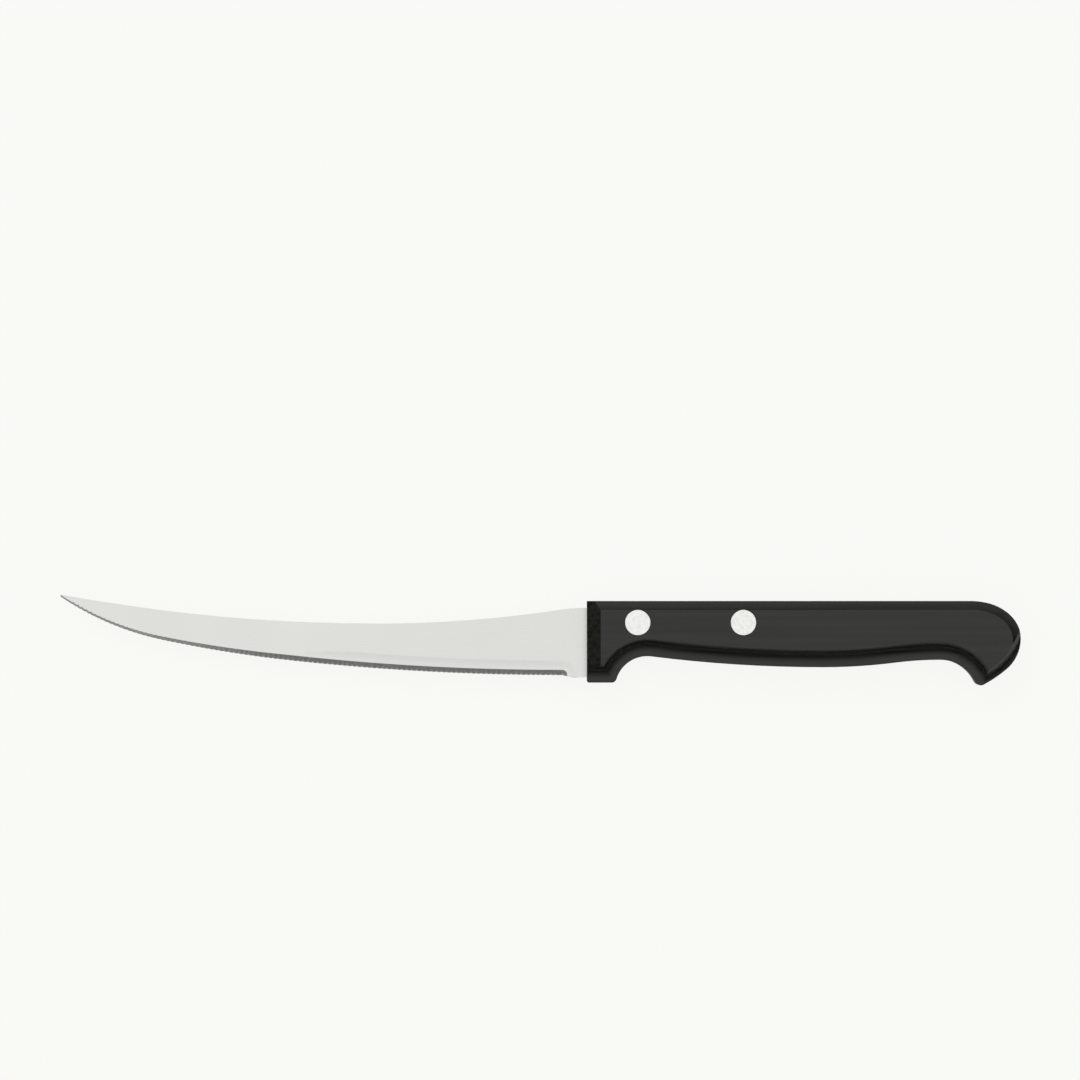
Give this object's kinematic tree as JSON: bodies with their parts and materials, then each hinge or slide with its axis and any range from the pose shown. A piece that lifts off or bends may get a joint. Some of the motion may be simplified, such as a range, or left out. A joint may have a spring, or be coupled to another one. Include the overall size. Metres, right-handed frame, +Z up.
{
  "type": "tomato knife",
  "caption": "Kitchen knife with a slim curved serrated blade and a black moulded handle held by compression rivets, for slicing tomatoes and other soft fruit.",
  "frame": {"origin": "centre of the knife's own box, on the surface it lies on", "axes": "+X along the knife from tip to butt, +Y from the cutting edge to the spine, +Z up through the thickness, out of the shown side"},
  "size_m": [0.2314, 0.0218, 0.0136],
  "materials": {
    "polypropylene": "moulded black polypropylene, semi-matt",
    "stainless": "finely brushed stainless steel",
    "rivet_aluminium": "satin, ground flush"
  },
  "bodies": {
    "root": {"handle": "polypropylene", "blade": "stainless", "front_rivet_socket": "rivet_aluminium", "front_rivet_pin": "rivet_aluminium", "rear_rivet_socket": "rivet_aluminium", "rear_rivet_pin": "rivet_aluminium"}
  },
  "joints": []
}
